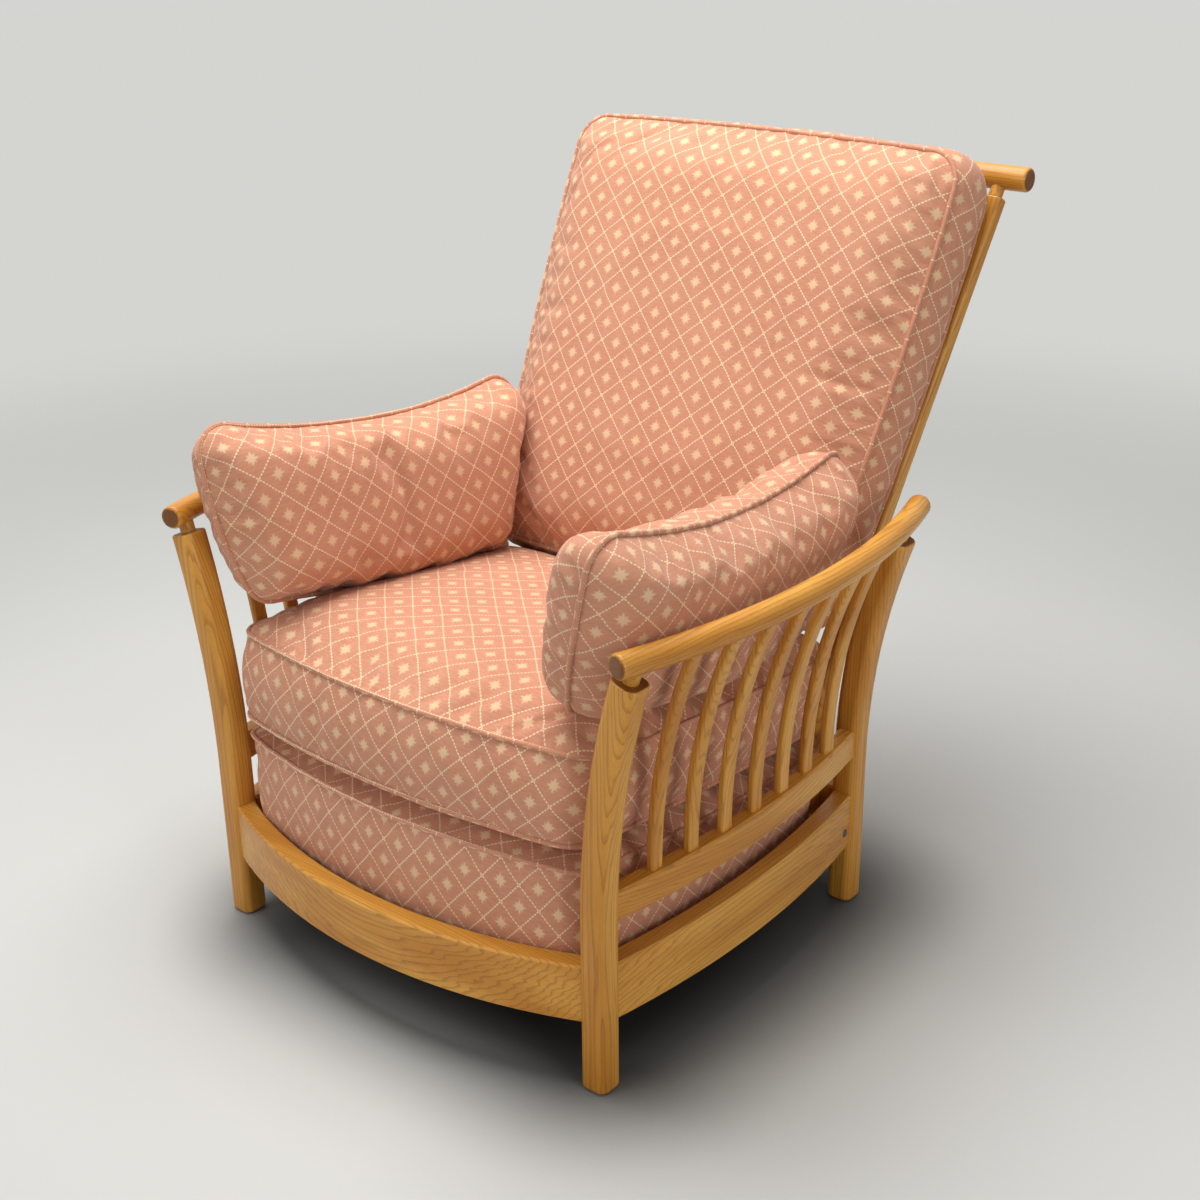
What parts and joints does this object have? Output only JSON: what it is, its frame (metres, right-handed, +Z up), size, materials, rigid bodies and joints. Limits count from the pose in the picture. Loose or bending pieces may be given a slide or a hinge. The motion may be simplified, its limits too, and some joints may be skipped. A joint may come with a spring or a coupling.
{
  "type": "easy chair",
  "caption": "Rustic easy chair with bent arm rails, slatted sides and a raked slatted back, a sprung deck, and loose seat, back and arm cushions.",
  "frame": {"origin": "middle of the bottom of the whole chair's box, on the floor", "axes": "+Z up, the front of the chair faces -Y, and +X is on the right when it is seen from the front"},
  "size_m": [0.823, 0.9164, 0.9559],
  "materials": {
    "frame_wood": "satin clear coat",
    "inner_wood": "bare",
    "plug_wood": "dark, satin",
    "steel": "plain",
    "clip_plastic": "matt",
    "inner_cloth": "matt",
    "foam": "matt",
    "cover_fabric": "woven, with a stitched diamond trellis"
  },
  "bodies": {
    "chair_frame": {"front_leg_left": "frame_wood", "front_leg_right": "frame_wood", "rear_leg_left": "frame_wood", "rear_leg_right": "frame_wood", "front_seat_rail": "frame_wood", "rear_seat_rail": "frame_wood", "side_seat_rail_left": "frame_wood", "side_seat_rail_right": "frame_wood", "spindle_rail_left": "frame_wood", "spindle_rail_right": "frame_wood", "arm_rail_left": "frame_wood", "arm_rail_right": "frame_wood", "arm_slat_left_1": "frame_wood", "arm_slat_left_2": "frame_wood", "arm_slat_left_3": "frame_wood", "arm_slat_left_4": "frame_wood", "arm_slat_left_5": "frame_wood", "arm_slat_left_6": "frame_wood", "arm_slat_left_7": "frame_wood", "arm_slat_right_1": "frame_wood", "arm_slat_right_2": "frame_wood", "arm_slat_right_3": "frame_wood", "arm_slat_right_4": "frame_wood", "arm_slat_right_5": "frame_wood", "arm_slat_right_6": "frame_wood", "arm_slat_right_7": "frame_wood", "back_upright_left": "frame_wood", "back_upright_right": "frame_wood", "top_rail": "frame_wood", "back_lower_rail": "frame_wood", "back_slat_1": "frame_wood", "back_slat_2": "frame_wood", "back_slat_3": "frame_wood", "back_slat_4": "frame_wood", "back_slat_5": "frame_wood", "back_slat_6": "frame_wood", "back_slat_7": "frame_wood", "corner_blocks": "inner_wood", "deck_front_bar": "inner_wood", "deck_rear_bar": "inner_wood", "deck_side_bar_left": "inner_wood", "deck_side_bar_right": "inner_wood", "corner_block_screws": "steel", "back_bolts": "steel", "zigzag_springs": "steel", "side_rail_plugs": "plug_wood", "spring_clips": "clip_plastic", "spring_cloth": "inner_cloth", "deck_pad": "foam", "deck_cover": "cover_fabric", "deck_lining": "inner_cloth"},
    "seat_cushion_body": {"seat_cushion": "cover_fabric"},
    "back_cushion_body": {"back_cushion": "cover_fabric"},
    "arm_cushion_left_body": {"arm_cushion_left": "cover_fabric"},
    "arm_cushion_right_body": {"arm_cushion_right": "cover_fabric"}
  },
  "joints": [
    {"name": "seat_cushion_out", "type": "slide", "parent": "chair_frame", "child": "seat_cushion_body", "axis": [0, -0.9966, 0.0827], "range_m": [0, 0.6]},
    {"name": "back_cushion_out", "type": "slide", "parent": "chair_frame", "child": "back_cushion_body", "axis": [0, 0.4578, 0.8891], "range_m": [0, 0.6]},
    {"name": "arm_cushion_left_out", "type": "slide", "parent": "chair_frame", "child": "arm_cushion_left_body", "axis": [0, 0, 1], "range_m": [0, 0.3]},
    {"name": "arm_cushion_right_out", "type": "slide", "parent": "chair_frame", "child": "arm_cushion_right_body", "axis": [0, 0, 1], "range_m": [0, 0.3]}
  ]
}
